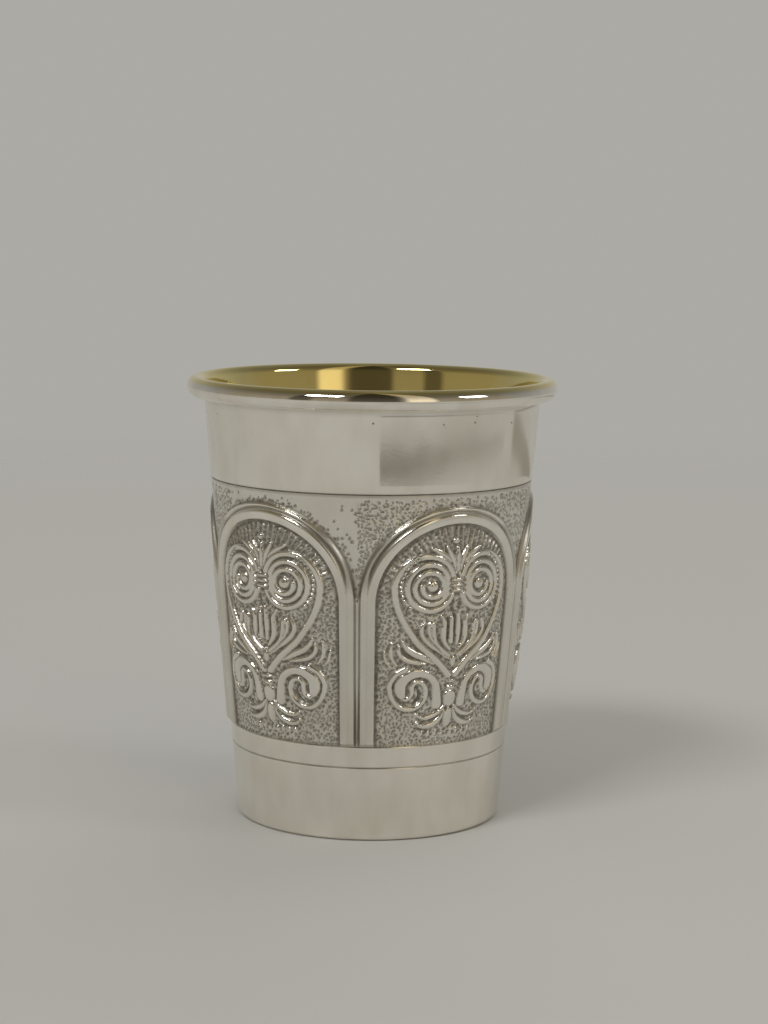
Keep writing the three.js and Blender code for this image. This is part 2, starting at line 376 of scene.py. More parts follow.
class Sheet:
    """One panel's field of heights, with u and z in millimetres.

    Share is how much of its full height a form keeps, as worn work does.
    """

    def __init__(self, half_width, bottom, top, step):
        columns = int(round(2 * half_width / step)) + 1
        rows = int(round((top - bottom) / step)) + 1
        self.us = np.linspace(-half_width, half_width, columns)
        self.zs = np.linspace(bottom, top, rows)
        self.u, self.z = np.meshgrid(self.us, self.zs)
        self.raise_ = np.zeros_like(self.u)
        self.cell = step
        self.share = 0.85

    def window(self, low, high):
        """Slices of the sheet that cover a box."""
        i0, i1 = np.searchsorted(self.zs, (low[1], high[1]))
        j0, j1 = np.searchsorted(self.us, (low[0], high[0]))
        return slice(max(i0 - 1, 0), i1 + 1), slice(max(j0 - 1, 0), j1 + 1)

    def reach(self, points, width):
        """For each cell near a line: its distance over the line's half-width, and in mm."""
        points = np.asarray(points, float)
        steps = np.hypot(*np.diff(points, axis=0).T)
        along = np.concatenate([[0], np.cumsum(steps)]) / max(steps.sum(), 1e-9)
        widest = float(np.max(width(along)))
        margin = widest + 0.8
        ratio = np.full_like(self.u, 1e3)
        gap = np.full_like(self.u, 1e3)
        for i in range(len(points) - 1):
            a, b = points[i], points[i + 1]
            box = self.window(np.minimum(a, b) - margin, np.maximum(a, b) + margin)
            du = self.u[box] - a[0]
            dz = self.z[box] - a[1]
            ab = b - a
            t = np.clip((du * ab[0] + dz * ab[1]) / max(ab @ ab, 1e-12), 0, 1)
            distance = np.hypot(du - t * ab[0], dz - t * ab[1])
            half = width(along[i] + (along[i + 1] - along[i]) * t)
            nearer = distance / half < ratio[box]
            ratio[box] = np.where(nearer, distance / half, ratio[box])
            gap[box] = np.where(nearer, distance - half, gap[box])
        return ratio, gap

    def moat(self, gap, floor, width=0.2):
        """Lowers what lies just outside a form, so that its outline reads."""
        inside = 1 - smoothstep(0, width, gap)
        lowered = np.minimum(self.raise_, floor)
        self.raise_ = self.raise_ + (lowered - self.raise_) * inside

    def rib(self, points, width, height, split=0.0, floor=-0.12):
        """A rounded rib along a line; split cuts a fine line along its crest."""
        ratio, gap = self.reach(points, width)
        self.moat(gap, floor)
        dome = np.clip(1 - ratio**2, 0, 1) ** 0.2
        crest = 1 - split * np.exp(-((ratio / 0.22) ** 2))
        form = floor + (self.share * height - floor) * dome * crest
        self.raise_ = np.where(ratio < 1, np.maximum(self.raise_, form), self.raise_)

    def boss(self, centre, radii, height, power=0.35, floor=-0.12):
        """A round or oval boss."""
        du = (self.u - centre[0]) / radii[0]
        dz = (self.z - centre[1]) / radii[1]
        ratio = np.hypot(du, dz)
        self.moat((ratio - 1) * min(radii), floor)
        form = floor + (self.share * height - floor) * np.clip(1 - ratio**2, 0, 1) ** power
        self.raise_ = np.where(ratio < 1, np.maximum(self.raise_, form), self.raise_)

    def cut(self, points, width, depth):
        """A sunk line."""
        ratio, _ = self.reach(points, width)
        sunk = depth * np.clip(1 - ratio**2, 0, 1)
        self.raise_ = self.raise_ - sunk

    def both(self, method, points, *details, **more):
        """The same form on both sides of the middle line."""
        points = np.asarray(points, float)
        flip = np.array([-1.0, 1.0])
        method(points, *details, **more)
        method(points * flip, *details, **more)

    def leaf_pair(self, points, width, height):
        """A leaf along a curve through the points, on both sides."""
        self.both(self.rib, smooth_line(points), leaf_shape(width), height)

    def vein_pair(self, points, start, end, depth):
        """A sunk vein whose width goes from start to end, on both sides."""
        self.both(self.cut, smooth_line(points), even(start, end), depth)


def punched(sheet, pitch, seed, depth, radius, keep):
    """A field of punched dots: jittered, stretched a little, and kept where keep says."""
    draw = np.random.default_rng(seed)
    field = np.zeros_like(sheet.u)
    rows = int((sheet.zs[-1] - sheet.zs[0]) / (pitch * 0.9)) + 1
    columns = int((sheet.us[-1] - sheet.us[0]) / pitch) + 1
    for row in range(rows):
        for column in range(columns):
            jitter = draw.uniform(-0.42, 0.42, 2) * pitch
            turn = draw.uniform(0, math.pi)
            stretch = draw.uniform(1.0, 1.9)
            size = radius * draw.uniform(0.75, 1.15)
            chance = draw.uniform()
            u = sheet.us[0] + (column + 0.5 * (row % 2)) * pitch + jitter[0]
            z = sheet.zs[0] + row * pitch * 0.9 + jitter[1]
            if chance > keep(u, z):
                continue
            reach = 2.2 * size * stretch
            box = sheet.window((u - reach, z - reach), (u + reach, z + reach))
            du = sheet.u[box] - u
            dz = sheet.z[box] - z
            along = (du * math.cos(turn) + dz * math.sin(turn)) / stretch
            across = -du * math.sin(turn) + dz * math.cos(turn)
            spot = np.exp(-(along**2 + across**2) / size**2)
            field[box] = np.maximum(field[box], spot)
    return depth * field


CROWN_WIDENING = 0.16  # how much wider an arch's band is at its crown than on its legs


def arch_distance(sheet, sizes):
    """Distance outward from an arch's inner edge, and how far up the arch each cell is."""
    inner = sizes.arch_inner / MM
    above = sheet.z - sizes.arch_spring / MM
    out = np.hypot(sheet.u, np.maximum(above, 0)) - inner
    crown = np.clip(above / inner, 0, 1)
    widening = 1 + CROWN_WIDENING * crown
    return out / widening, crown


def swelling(sheet, sizes, cup):
    """How far a panel's ground swells out inside its arch."""
    inner = sizes.arch_inner / MM
    above = np.maximum(sheet.z - sizes.arch_spring / MM, 0)
    share = np.clip(np.hypot(sheet.u, above) / inner, 0, 1)
    swell_rise = 20
    fullness = 0.7
    rise = np.clip((sheet.z - cup.band_bottom / MM) / swell_rise, 0, 1)
    return sizes.swell / MM * (1 - share**2) ** fullness * np.sin(math.pi / 2 * rise)


def draw_arch(sheet, sizes):
    """Ground, smooth band, moulding outside it, and the half pillars at the sides."""
    ground = -sizes.ground_sink / MM
    height = sizes.arch_raise / MM
    out, crown = arch_distance(sheet, sizes)
    sheet.raise_ = np.full_like(sheet.u, ground)
    sheet.raise_ = sheet.raise_ - 0.08 * np.exp(-(((out + 0.2) / 0.15) ** 2))
    edge = 2.55 - 0.1 * crown
    band = smoothstep(-0.12, 0.18, out) * (1 - smoothstep(edge, edge + 0.3, out))
    curve = 0.05 * np.cos((out - 0.8) / 0.8 * math.pi / 2)
    sheet.raise_ = np.maximum(sheet.raise_, ground + (height + curve - ground) * band)
    steep = smoothstep(0.08, 0.5, crown)
    line = 1.5 + 0.35 * steep
    depth = 0.07 + 0.5 * steep
    half = 0.13 + 0.13 * steep
    sheet.raise_ = sheet.raise_ - band * depth * np.exp(-(((out - line) / half) ** 2))
    sheet.raise_ = sheet.raise_ - 0.1 * np.exp(-(((out - edge - 0.38) / 0.14) ** 2))
    side = sheet.us[-1] - np.abs(sheet.u)
    pillar_top = 43.0
    pillar_raise = 0.3
    top = 1 - smoothstep(pillar_top, pillar_top + 1.5, sheet.z)
    thin = 0.1 + 0.16 * smoothstep(19, 32, sheet.z)
    ridge = (1 - smoothstep(thin, thin + 0.18, side)) * top
    sheet.raise_ = np.maximum(sheet.raise_, ground + (pillar_raise - ground) * ridge)
    return out


def draw_ground(sheet, sizes, seed, worn):
    """Matted ground inside the arch, and looser dots in the corners over it.

    Worn, from 0 to 1, is how far handling has smoothed the corner on the panel's right.
    """
    pitch = sizes.mat_pitch / MM
    spring = sizes.arch_spring / MM
    inner = sizes.arch_inner / MM
    side = sheet.us[-1]
    dense = 0.95
    arch_width = 3.3
    corner_top = 61.0

    def inside(u, z):
        return dense if math.hypot(u, max(z - spring, 0)) < inner - 0.2 else 0.0

    def corner(u, z):
        away = math.hypot(u, max(z - spring, 0)) - inner
        if away < arch_width or z > corner_top or z < spring:
            return 0.0
        if u < -0.5 * side:
            return dense - 0.35 * worn * min(max(z - 56, 0) / 4, 1)
        along_arch = 0.55 if away < arch_width + 1 else 0.08
        return along_arch * worn + 0.8 * (1 - worn)

    mat = punched(sheet, pitch, seed, 0.26, 0.165, inside)
    loose = punched(sheet, 0.9 * pitch, seed + 50, 0.24, 0.145, corner)
    low = 1 - smoothstep(-0.02, 0.12, sheet.raise_)
    dots = low * (mat + loose)
    sheet.raise_ = sheet.raise_ - dots
    return dots


def quarter_spiral(eye, radii, steps=10):
    """Points about an eye whose radius passes through the given ones, a quarter turn apart."""
    count = len(radii)
    radius = smooth_line(np.stack([np.arange(count), radii], 1), steps * (count - 1))[:, 1]
    angle = np.linspace(0, (count - 1) * math.pi / 2, len(radius))
    return np.stack([eye[0] + radius * np.cos(angle), eye[1] + radius * np.sin(angle)], 1)


def draw_fan(sheet, spring):
    """Flutes under the crown, and the leaves that open over the knot."""
    flute_ends = (9.7, 13.2)
    for degrees in range(-65, 66, 5):
        angle = math.radians(degrees)
        ray = [[math.sin(angle) * r, spring + math.cos(angle) * r] for r in flute_ends]
        sheet.rib(ray, even(0.14, 0.26), 0.06, floor=-0.2)
    sheet.leaf_pair([[0.4, 47.9], [1.5, 49.9], [3.0, 51.6], [4.6, 52.5]], 0.62, 0.34)
    sheet.leaf_pair([[0.3, 48.6], [0.9, 50.6], [2.0, 52.7]], 0.46, 0.34)
    sheet.rib([[0, 48.4], [0, 52.6]], leaf_shape(0.42), 0.36)
    sheet.boss((-0.35, 53.7), (0.62, 0.62), 0.4)
    sheet.cut(smooth_line([[-1.1, 54.2], [-1.15, 53.4], [-0.6, 52.8]]), even(0.2, 0.2), 0.16)


def draw_flower(sheet):
    """The flower between the lyre's stems: a tongue, and three leaves to each side."""
    outer = [[0.8, 32.9], [2.6, 34.3], [4.6, 35.7], [5.9, 37.2], [6.1, 38.6], [5.6, 39.5]]
    sheet.leaf_pair(outer, 0.5, 0.32)
    spoon = smooth_line([[0.9, 33.5], [2.6, 34.9], [3.8, 36.4], [4.3, 37.8], [4.35, 38.9]])
    sheet.both(sheet.rib, spoon, lambda t: 0.34 + 0.42 * smoothstep(0.4, 0.85, t), 0.35)
    sheet.both(sheet.cut, smooth_line([[3.7, 36.2], [4.3, 37.4], [4.4, 38.6]]), drop_shape(0.26), 0.26)
    sheet.leaf_pair([[0.8, 34.5], [1.9, 36.0], [2.15, 38.0], [2.0, 39.4], [2.6, 40.6]], 0.5, 0.36)
    tongue = [[-0.72, 35.9], [-0.74, 41.0]]
    sheet.rib(tongue, lambda t: 0.46 - 0.2 * t, 0.4)
    sheet.rib(smooth_line([[0.55, 35.5], [0.62, 38.2], [0.45, 41.4]]), leaf_shape(0.46), 0.38)
    for u, low, high in ((-1.38, 36.1, 40.3), (-0.06, 36.2, 40.9), (1.28, 36.2, 39.6)):
        sheet.cut([[u, high], [u, low]], even(0.18, 0.24), 0.26)
    sheet.cut([[-0.55, 43.6], [-0.6, 42.4], [-0.62, 40.6]], drop_shape(0.5), 0.3)
    sheet.cut([[0.55, 43.3], [0.75, 41.6]], drop_shape(0.34), 0.24)
    sheet.boss((0, 32.4), (0.55, 1.1), 0.32)
    sheet.boss((0, 33.75), (0.4, 0.36), 0.36)


def draw_lower_volutes(sheet):
    """The hooked scrolls on both sides of the collar."""
    over = smooth_line(
        [[2.5, 24.7], [2.7, 26.6], [3.1, 28.5], [4.3, 29.9], [6.1, 30.5], [8.0, 30.1], [9.2, 29.0],
         [9.45, 27.6], [9.1, 26.5], [8.5, 25.9]], 60
    )
    sheet.both(sheet.rib, over, lambda t: 0.95 - 0.25 * np.sin(math.pi * np.clip(t * 1.5, 0, 1))
               + 0.1 * smoothstep(0.6, 0.8, t) - 0.55 * smoothstep(0.85, 1, t), 0.36)
    around = smooth_line(
        [[8.6, 31.3], [10.3, 30.3], [11.25, 28.7], [11.25, 27.2], [10.6, 25.6], [9.4, 24.4],
         [7.9, 23.95], [6.2, 24.4], [5.0, 25.7], [4.8, 27.3], [5.4, 28.6], [6.6, 28.95], [7.3, 28.2],
         [7.35, 27.0], [7.8, 26.1], [8.5, 25.8]], 90
    )
    sheet.both(sheet.rib, around, even(0.5, 0.42), 0.38)
    hollow = smooth_line([[6.6, 28.0], [5.95, 27.1], [6.0, 26.1], [6.6, 25.3], [7.5, 24.95]])
    sheet.both(sheet.cut, hollow, lambda t: 0.1 + 0.28 * np.sin(math.pi * t), 0.34)
    sheet.vein_pair([[8.8, 28.8], [9.15, 27.6], [9.2, 26.9]], 0.14, 0.14, 0.1)
    sheet.vein_pair([[2.3, 25.2], [2.3, 26.8], [2.5, 28.2]], 0.16, 0.14, 0.12)


def draw_side_leaves(sheet):
    """Two leaves over each lower scroll, the upper one's vein, and a shoot and a ripple beside."""
    sheet.leaf_pair([[3.7, 32.2], [5.7, 33.3], [7.5, 34.2], [8.7, 35.2], [9.3, 36.3]], 0.6, 0.36)
    sheet.leaf_pair([[5.2, 32.1], [7.5, 32.6], [9.0, 33.2], [9.85, 34.3], [9.85, 35.4]], 0.48, 0.34)
    sheet.vein_pair([[7.9, 33.5], [8.9, 33.9], [9.3, 34.9]], 0.13, 0.2, 0.16)
    sheet.leaf_pair([[10.1, 31.9], [11.0, 33.2], [11.25, 34.6], [11.1, 35.9]], 0.34, 0.26)
    sheet.leaf_pair([[11.2, 31.6], [12.1, 32.8], [12.4, 34.4]], 0.28, 0.2)


def draw_foot_leaves(sheet):
    """Two leaves to each side of a drop, under the collar's block."""
    sheet.leaf_pair([[0.9, 24.4], [2.2, 23.1], [3.9, 22.4], [5.4, 22.4], [6.4, 23.1]], 0.46, 0.34)
    sheet.leaf_pair([[0.9, 23.5], [1.8, 21.9], [3.3, 20.95], [5.1, 20.75], [6.2, 21.4]], 0.52, 0.36)
    for u, z in ((1.0, 19.2), (2.3, 19.4), (3.7, 19.3), (5.1, 19.4)):
        sheet.both(sheet.boss, (u, z), (0.36, 0.62), 0.22)
    sheet.rib([[0, 20.2], [0, 21.4]], drop_shape(0.6), 0.34)
    sheet.boss((0, 22.2), (0.95, 1.9), 0.38)


def draw_lyre(sheet):
    """The lyre: two stems that rise from the collar and roll up into volutes."""
    eye = np.array([4.45, 45.9])
    bead_ring = 5.3
    stem = smooth_line(
        [[0.7, 29.9], [2.0, 31.4], [3.4, 32.9], [5.0, 34.3], [6.6, 35.8], [7.75, 37.4], [8.9, 39.2],
         [9.85, 41.1], [10.6, 43.3], [10.9, 45.9]], 60
    )
    radii = [6.45, 5.15, 3.75, 4.35, 4.3, 3.75, 2.75, 3.15, 3.05, 2.35, 1.95, 1.95, 1.8]
    roll = quarter_spiral(eye, radii)
    lyre = np.concatenate([stem[:-1], roll])
    length = np.concatenate([[0], np.cumsum(np.hypot(*np.diff(lyre, axis=0).T))])
    rolled = length[len(stem) - 2] / length[-1]

    def width(t):
        return 0.6 - 0.12 * smoothstep(rolled * 1.15, rolled * 1.7, t)

    sheet.both(sheet.rib, lyre, width, 0.4, split=0.12)
    sheet.both(sheet.boss, eye, (1.0, 1.0), 0.42)
    sheet.both(sheet.boss, eye, (0.42, 0.42), 0.5, floor=0.22)
    for degrees in range(-46, 70, 9):
        angle = math.radians(degrees)
        dot = eye + bead_ring * np.array([math.cos(angle), math.sin(angle)])
        sheet.both(sheet.boss, dot, (0.32, 0.32), 0.2)


def draw_ties(sheet):
    """The knot between the volutes, and the collar and block that tie the stems."""
    for z in (45.05, 45.95, 46.9):
        sheet.boss((0, z), (1.25, 0.42), 0.46, power=0.35)
    sheet.boss((0, 28.8), (0.95, 0.4), 0.44, power=0.4)
    sheet.boss((0, 27.5), (0.85, 0.68), 0.5)
    sheet.rib([[0, 26.0], [0, 25.3]], even(1.2, 1.2), 0.4)


def draw_scrolls(sheet, sizes):
    """The whole ornament inside an arch, from the lowest forms to the highest."""
    draw_fan(sheet, sizes.arch_spring / MM)
    draw_side_leaves(sheet)
    draw_foot_leaves(sheet)
    draw_lower_volutes(sheet)
    draw_flower(sheet)
    draw_lyre(sheet)
    draw_ties(sheet)


def draw_panel(cup, sizes, seed, worn):
    """A finished sheet, and how dark each of its cells is."""
    half = math.pi * reference_radius(cup) / sizes.panels
    bottom = cup.band_bottom / MM
    top = cup.upper_groove / MM - 0.12
    sheet = Sheet(half, bottom, top, sizes.step / MM)
    out = draw_arch(sheet, sizes)
    draw_scrolls(sheet, sizes)
    dots = draw_ground(sheet, sizes, seed, worn)
    sheet.raise_ = blurred(sheet.raise_, 0.6)
    # How dark each cell is painted: real tarnish in the hollows and punched dots, together with painted
    # shade in them.
    around = blurred(sheet.raise_, 0.5 / sheet.cell)
    hollow = np.clip((around - sheet.raise_) / 0.3, 0, 1)
    depth = np.clip((-0.08 - sheet.raise_) / 0.3, 0, 1)
    inside = smoothstep(0.1, 0.6, -out)
    low = 1 - smoothstep(-0.05, 0.15, sheet.raise_)
    legs = 1 - smoothstep(38, 54, sheet.z)
    lunette = smoothstep(49, 52, sheet.z) * inside
    # Film here is mostly painted light. The lunette term paints the dark reflection of a dark ceiling on
    # its upward faces. Inside and low darken the ground with tarnish and painted shade. Legs makes the
    # bands and corners darker towards the bottom.
    film = 0.08 * inside + 0.1 * low + 0.2 * legs * (1 - inside) + 0.3 * lunette * low
    crown = arch_distance(sheet, sizes)[1]
    shoulder = smoothstep(0.1, 0.35, crown) * (1 - smoothstep(0.88, 0.99, crown))
    moulding = smoothstep(1.3, 1.6, out) * (1 - smoothstep(2.7, 3.2, out)) * shoulder
    edges = 1 - smoothstep(bottom, bottom + 0.8, sheet.z) * (1 - smoothstep(top - 0.6, top, sheet.z))
    # Painted dark reflection on the arch moulding's shoulders, and painted shade along the panel's top
    # and bottom edges where it meets the wall.
    film = film + 0.4 * moulding + 0.35 * edges
    recess = np.clip(0.9 * hollow + 0.3 * depth + film + 1.9 * dots, 0, 1)
    sheet.raise_ = sheet.raise_ + swelling(sheet, sizes, cup)
    foot_fade = smoothstep(bottom, bottom + 0.7, sheet.z)
    head_fade = 1 - smoothstep(top - 0.5, top, sheet.z)
    ends = 0.02 * (1 - foot_fade) - 0.15 * (1 - head_fade)
    sheet.raise_ = sheet.raise_ * foot_fade * head_fade + ends
    return sheet, recess


def reference_radius(cup):
    """The wall's radius, in millimetres, where u is true length."""
    growth = 3.3
    return cup.base_radius / MM + growth


def wrapped(name, sheet, recess, cup, turn):
    """The sheet wrapped on the cone as a closed slab, whose back lies inside the wall."""
    rows, columns = sheet.u.shape
    angle = sheet.u / reference_radius(cup) + turn

    def place(z, raise_, angles):
        r = cup.base_radius / MM + cup.taper * z + raise_
        return np.stack([r * np.sin(angles), -r * np.cos(angles), z], -1)

    front = place(sheet.z, sheet.raise_, angle).reshape(-1, 3)
    back_raise = -0.45
    back = np.concatenate(
        [place(sheet.z[row], np.full(columns, back_raise), angle[row]) for row in (0, -1)]
    )
    vertices = np.concatenate([front, back]) * MM
    cells = np.arange(rows * columns).reshape(rows, columns)
    quads = np.stack([cells[:-1, :-1], cells[:-1, 1:], cells[1:, 1:], cells[1:, :-1]], -1).reshape(-1, 4)
    low = rows * columns + np.arange(columns)
    high = low + columns
    faces = quads.tolist()
    for j in range(columns - 1):
        faces.append((low[j], low[j + 1], cells[0, j + 1], cells[0, j]))
        faces.append((cells[-1, j], cells[-1, j + 1], high[j + 1], high[j]))
        faces.append((high[j], high[j + 1], low[j + 1], low[j]))
    faces.append((low[0], *cells[:, 0], high[0]))
    faces.append((high[-1], *cells[::-1, -1], low[-1]))
    # The slab's buried sides and back are painted fully dark: painted shade where they meet the wall.
    dark = np.concatenate([recess.ravel(), np.ones(2 * columns)])
    gilding = np.zeros(len(vertices))
    faces = [tuple(int(v) for v in face) for face in faces]
    piece = mesh_object(name, vertices.tolist(), faces, {"recess": dark, "gilding": gilding})
    sharpen_rim(piece.data, len(quads))
    return piece


def sharpen_rim(mesh, front_faces):
    """Marks the slab's hidden sides as flat, and its outline as sharp."""
    smooth = np.zeros(len(mesh.polygons), bool)
    smooth[:front_faces] = True
    mesh.polygons.foreach_set("use_smooth", smooth)
    uses = np.zeros(len(mesh.edges), int)
    loop_edges = np.zeros(len(mesh.loops), int)
    mesh.loops.foreach_get("edge_index", loop_edges)
    front_loops = front_faces * 4
    np.add.at(uses, loop_edges[:front_loops], 1)
    sharp = mesh.attributes.new("sharp_edge", "BOOLEAN", "EDGE")
    sharp.data.foreach_set("value", uses == 1)
    mesh.update()


# ---- materials


def add_node(tree, kind, settings=None, inputs=None):
    """A node with its settings; an input is a value, or another node's output socket."""
    node = tree.nodes.new(kind)
    for title, value in (settings or {}).items():
        setattr(node, title, value)
    for title, value in (inputs or {}).items():
        socket = node.inputs[title]
        if isinstance(value, bpy.types.NodeSocket):
            tree.links.new(value, socket)
        else:
            socket.default_value = value
    return node


def new_material(name):
    """An empty node material and its output node."""
    material = bpy.data.materials.new(name)
    material.use_nodes = True
    tree = material.node_tree
    tree.nodes.clear()
    return material, tree, add_node(tree, "ShaderNodeOutputMaterial")


# A value moved smoothly from one range to another: its settings, and its inputs in order.
EASED = {"interpolation_type": "SMOOTHSTEP"}
RANGE = ("Value", "From Min", "From Max", "To Min", "To Max")


def silver_material(finish):
    """Sterling silver, die-struck and polished: bright on the high parts, and painted brown by the
    recess attribute, which holds tarnish in the hollows, painted shade and painted dark reflections.

    Clouds of film and upright smears dull it a little, slow waves from buffing bend what it
    mirrors, and small pits show under the roll. Heights and grain sizes are in millimetres.
    """
    material, tree, output = new_material("sterling_silver_polished")
    place = add_node(tree, "ShaderNodeTexCoord").outputs["Object"]
    height = add_node(tree, "ShaderNodeSeparateXYZ", None, {"Vector": place}).outputs["Z"]
    recess, gilding = (
        add_node(tree, "ShaderNodeAttribute", {"attribute_name": title}).outputs["Fac"]
        for title in ("recess", "gilding")
    )
    upright = add_node(
        tree, "ShaderNodeVectorMath", {"operation": "MULTIPLY"}, {0: place, 1: (1.0, 1.0, 0.4)}
    ).outputs["Vector"]
    noise = {}
    for title, vector, grain, detail in (
        ("handling", place, 14, 4.0),
        ("grit", place, 0.5, 3.0),
        ("streaks", upright, 4, 4.0),
        ("buffing", place, 9, 1.0),
    ):
        look = {"Vector": vector, "Scale": 1 / (grain * MM), "Detail": detail}
        noise[title] = add_node(tree, "ShaderNodeTexNoise", None, look).outputs["Fac"]
    pit_spacing = 2.4 * MM
    cells = add_node(
        tree, "ShaderNodeTexVoronoi", None, {"Vector": place, "Scale": 1 / pit_spacing}
    ).outputs["Distance"]
    eased = {}
    for title, *row in (
        ("film", noise["handling"], 0.35, 0.75, 0.0, 0.3),
        ("smears", noise["streaks"], 0.35, 0.7, 0.0, 0.14),
        ("pits", cells, 0.04, 0.11, 0.7, 0.0),
        ("over_neck", height, 72 * MM, 73 * MM, 0.0, 1.0),
        ("under_roll", height, 75 * MM, 76 * MM, 1.0, 0.0),
        ("polish", noise["handling"], 0.3, 0.7, 0.08, 0.12),
        ("roll", height, 76 * MM, 77 * MM, 1.0, 0.45),
        ("over_foot", height, 17.2 * MM, 17.6 * MM, 0.0, 1.0),
        ("under_groove", height, 61.4 * MM, 61.8 * MM, 1.0, 0.0),
    ):
        inputs = dict(zip(RANGE, row))
        eased[title] = add_node(tree, "ShaderNodeMapRange", EASED, inputs).outputs["Result"]
    # The recess attribute (real tarnish with painted shade and painted dark reflections) and the real
    # pits under the roll mix in the dark colour.
    stain_and_shade_share = 0.68
    math_nodes = {}
    for title, operation, *values in (
        ("zone", "MULTIPLY", eased["over_neck"], eased["under_roll"]),
        ("pits", "MULTIPLY", "zone", eased["pits"]),
        ("hollows", "MULTIPLY", recess, stain_and_shade_share),
        ("stain_and_shade", "MAXIMUM", "hollows", "pits"),
        ("polish", "MULTIPLY", eased["polish"], eased["roll"]),
        ("struck", "MULTIPLY", eased["over_foot"], eased["under_groove"]),
        ("struck_polish", "MULTIPLY_ADD", "struck", 0.055, "polish"),
        ("dull", "MULTIPLY_ADD", "stain_and_shade", 0.6, "struck_polish"),
    ):
        inputs = {i: math_nodes[v] if isinstance(v, str) else v for i, v in enumerate(values)}
        node = add_node(tree, "ShaderNodeMath", {"operation": operation}, inputs)
        math_nodes[title] = node.outputs["Value"]
    colour = linear(finish.silver)
    for share, paint in (
        (eased["film"], finish.film),
        (eased["smears"], finish.smear),
        (math_nodes["stain_and_shade"], finish.tarnish_and_shade),
        (gilding, finish.gilt),
    ):
        inputs = {"Factor": share, "A": colour, "B": linear(paint)}
        mix = add_node(tree, "ShaderNodeMix", {"data_type": "RGBA"}, inputs)
        colour = mix.outputs["Result"]
    wave_height = 0.02 * MM
    grit_height = 0.002 * MM
    inputs = {"Height": noise["buffing"], "Distance": wave_height}
    waves = add_node(tree, "ShaderNodeBump", None, inputs).outputs["Normal"]
    inputs = {"Height": noise["grit"], "Distance": grit_height, "Normal": waves}
    bump = add_node(tree, "ShaderNodeBump", None, inputs).outputs["Normal"]
    inputs = {"Base Color": colour, "Metallic": 1.0, "Roughness": math_nodes["dull"], "Normal": bump}
    shader = add_node(tree, "ShaderNodeBsdfPrincipled", None, inputs)
    tree.links.new(shader.outputs["BSDF"], output.inputs["Surface"])
    return material


def gilt_material(finish):
    """Gold plate on polished silver: a warm, sharper mirror than the outside."""
    material, tree, output = new_material("gold_plate_polished")
    place = add_node(tree, "ShaderNodeTexCoord").outputs["Object"]
    cloud_size = 9 * MM
    clouds = add_node(
        tree, "ShaderNodeTexNoise", None, {"Vector": place, "Scale": 1 / cloud_size, "Detail": 3.0}
    ).outputs["Fac"]
    eased = {}
    for title, *row in (("plate", clouds, 0.35, 0.7, 0.0, 1.0), ("polish", clouds, 0.3, 0.7, 0.05, 0.1)):
        inputs = dict(zip(RANGE, row))
        eased[title] = add_node(tree, "ShaderNodeMapRange", EASED, inputs).outputs["Result"]
    inputs = {"Factor": eased["plate"], "A": linear(finish.gilt), "B": linear(finish.deep_gilt)}
    colour = add_node(tree, "ShaderNodeMix", {"data_type": "RGBA"}, inputs).outputs["Result"]
    inputs = {"Base Color": colour, "Metallic": 1.0, "Roughness": eased["polish"]}
    shader = add_node(tree, "ShaderNodeBsdfPrincipled", None, inputs)
    tree.links.new(shader.outputs["BSDF"], output.inputs["Surface"])
    return material


def floor_material(finish):
    """A matt paper sweep that thins out into the plain backdrop far from the cup."""
    material, tree, output = new_material("matt_paper_sweep")
    place = add_node(tree, "ShaderNodeTexCoord").outputs["Object"]
    away = add_node(tree, "ShaderNodeVectorMath", {"operation": "LENGTH"}, {0: place})
    solid_reach = 0.32
    open_reach = 0.75
    inputs = dict(zip(RANGE, (away.outputs["Value"], solid_reach, open_reach, 0.0, 1.0)))
    fade = add_node(tree, "ShaderNodeMapRange", EASED, inputs).outputs["Result"]
    inputs = {"Base Color": linear(finish.floor), "Roughness": 0.9}
    paper = add_node(tree, "ShaderNodeBsdfPrincipled", None, inputs)
    clear = add_node(tree, "ShaderNodeBsdfTransparent")
    inputs = {0: fade, 1: paper.outputs["BSDF"], 2: clear.outputs["BSDF"]}
    mixed = add_node(tree, "ShaderNodeMixShader", None, inputs)
    tree.links.new(mixed.outputs["Shader"], output.inputs["Surface"])
    return material


# ---- operators


def settings():
    """The scene's sizes and colours."""
    return bpy.context.scene.kiddush_cup


def finish_piece(piece, *materials):
    """Gives a piece its materials and ties it to the frame."""
    for material in materials:
        piece.data.materials.append(material)
    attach(piece, "root")
    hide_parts("cup")


class KIDDUSH_OT_bowl(Operator):
    """Turns the bowl, with its foot, grooves, rolled rim and gilt inside"""

    bl_idname = "kiddush.bowl"
    bl_label = "Bowl"

    def execute(self, context):
        cup = settings()
        line = bowl_profile(cup.sizes)
        piece = turned("cup_bowl", line, cup.sizes.facets)
        silver = silver_material(cup.finish)
        gilt = gilt_material(cup.finish)
        finish_piece(piece, silver, gilt)
        facets = cup.sizes.facets
        fully_gilt = 0.99
        gilded = np.array(line.gilding[1:-1]) > fully_gilt
        rings = len(gilded) - 1
        slot = np.zeros(len(piece.data.polygons), np.int32)
        for ring in range(rings):
            if gilded[ring] and gilded[ring + 1]:
                slot[ring * facets : (ring + 1) * facets] = 1
        slot[rings * facets + 1 :: 2] = 1
        piece.data.polygons.foreach_set("material_index", slot)
        return {"FINISHED"}


class KIDDUSH_OT_panels(Operator):
    """Builds the five arched panels of relief round the wall"""

    bl_idname = "kiddush.panels"
    bl_label = "Relief panels"

    def execute(self, context):
        cup = settings()
        silver = bpy.data.materials["sterling_silver_polished"]
        first_seed = 7
        fully, slightly = 1.0, 0.3
        for index in range(cup.relief.panels):
            worn = fully if index == cup.relief.panels - 1 else slightly
            sheet, recess = draw_panel(cup.sizes, cup.relief, first_seed + index, worn)
            turn = (index + 0.5) * 2 * math.pi / cup.relief.panels
            piece = wrapped(f"relief_panel_{index + 1}", sheet, recess, cup.sizes, turn)
            finish_piece(piece, silver)
        return {"FINISHED"}


